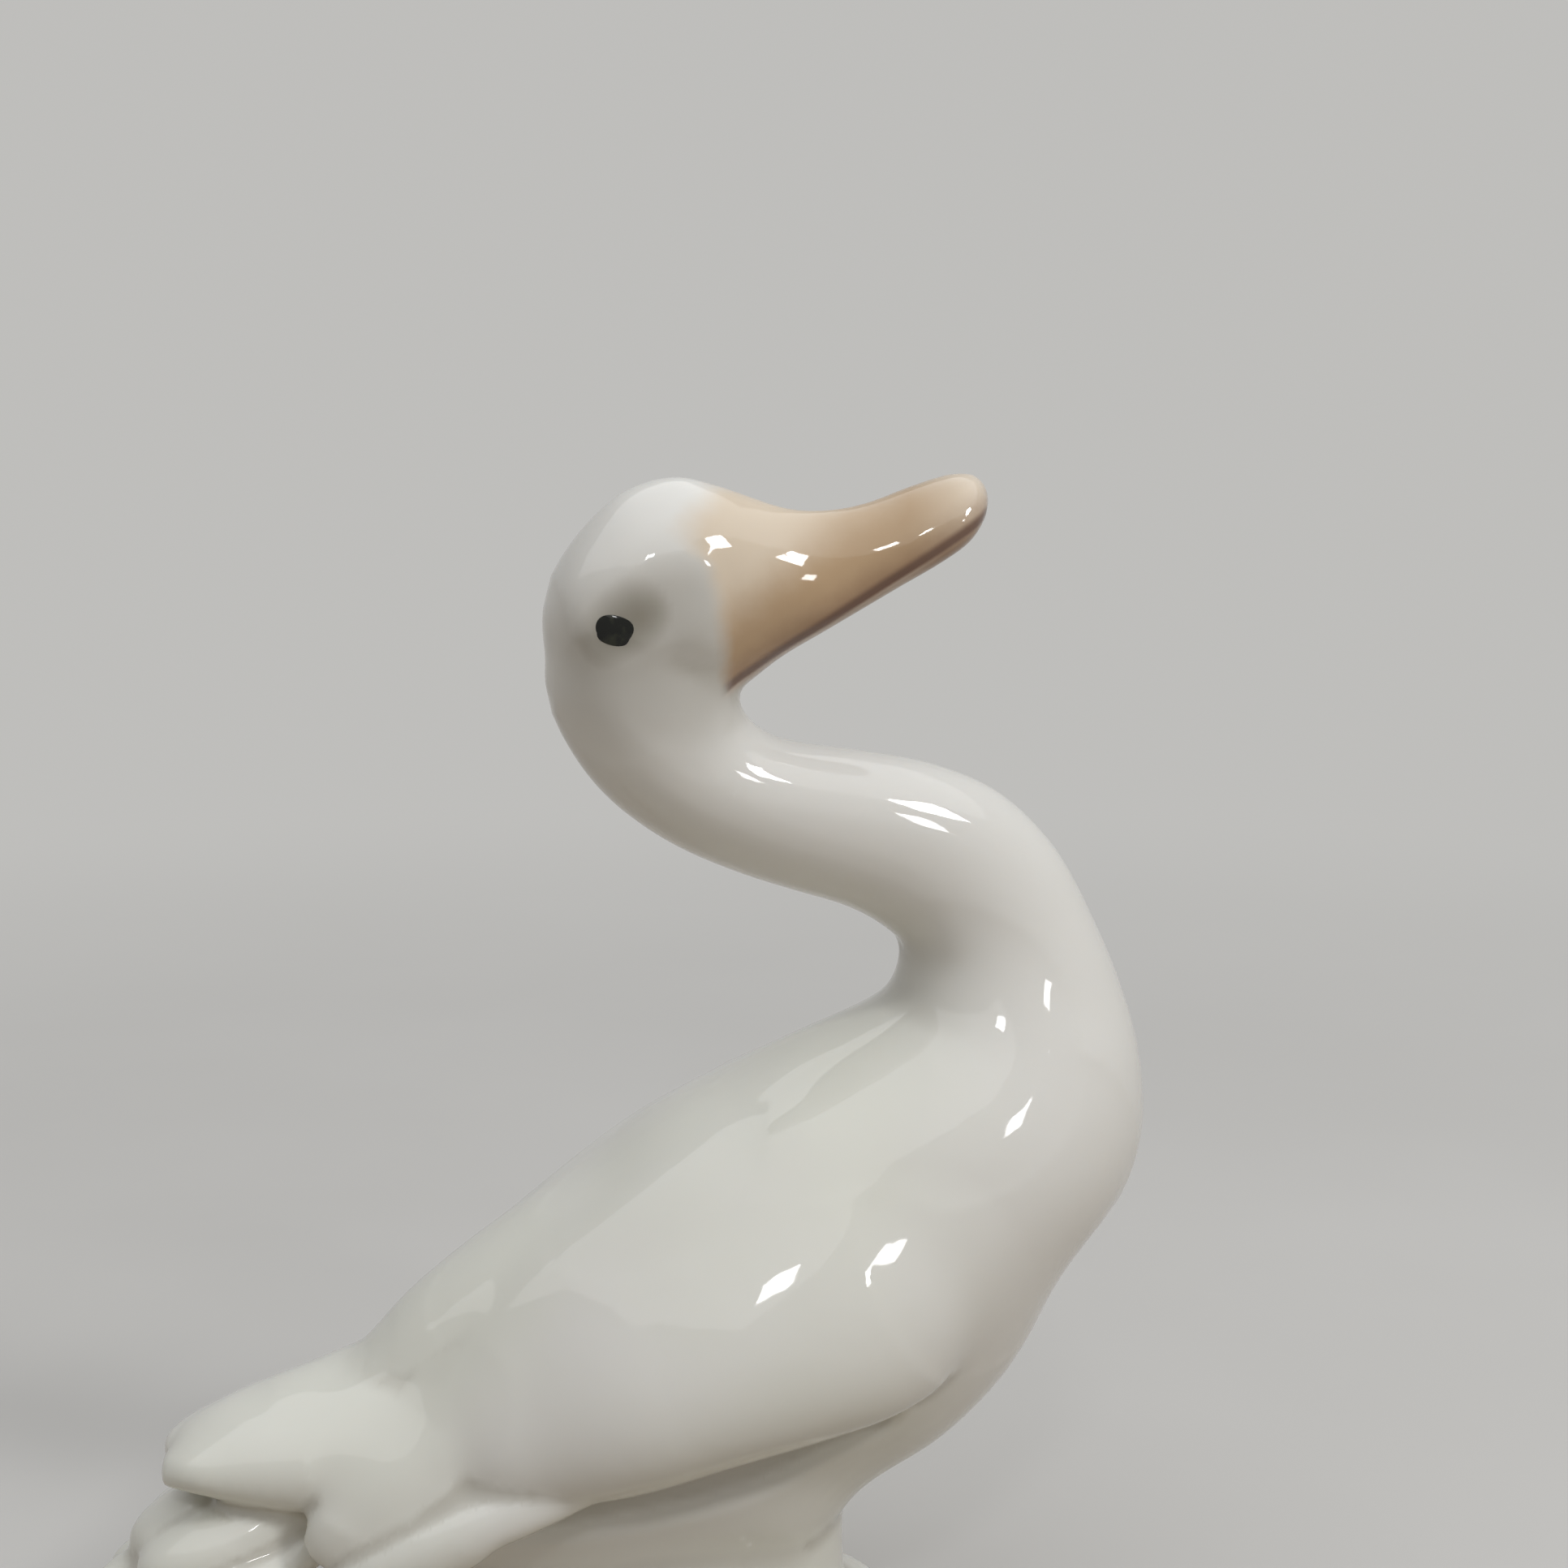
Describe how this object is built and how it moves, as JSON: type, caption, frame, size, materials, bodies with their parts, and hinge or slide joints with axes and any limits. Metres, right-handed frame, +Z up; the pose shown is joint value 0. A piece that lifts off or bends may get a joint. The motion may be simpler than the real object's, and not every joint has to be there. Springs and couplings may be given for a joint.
{
  "type": "duck figurine",
  "caption": "Glazed porcelain duck with an S-shaped neck, folded wings and a fan tail, on a low oval base.",
  "frame": {"origin": "middle of the oval base's flat underside", "axes": "+X towards the bill's side of the duck, +Y towards its left side, +Z up"},
  "size_m": [0.1233, 0.059, 0.1436],
  "materials": {
    "white_glaze": "gloss"
  },
  "bodies": {
    "root": {"porcelain_duck": "white_glaze"}
  },
  "joints": []
}
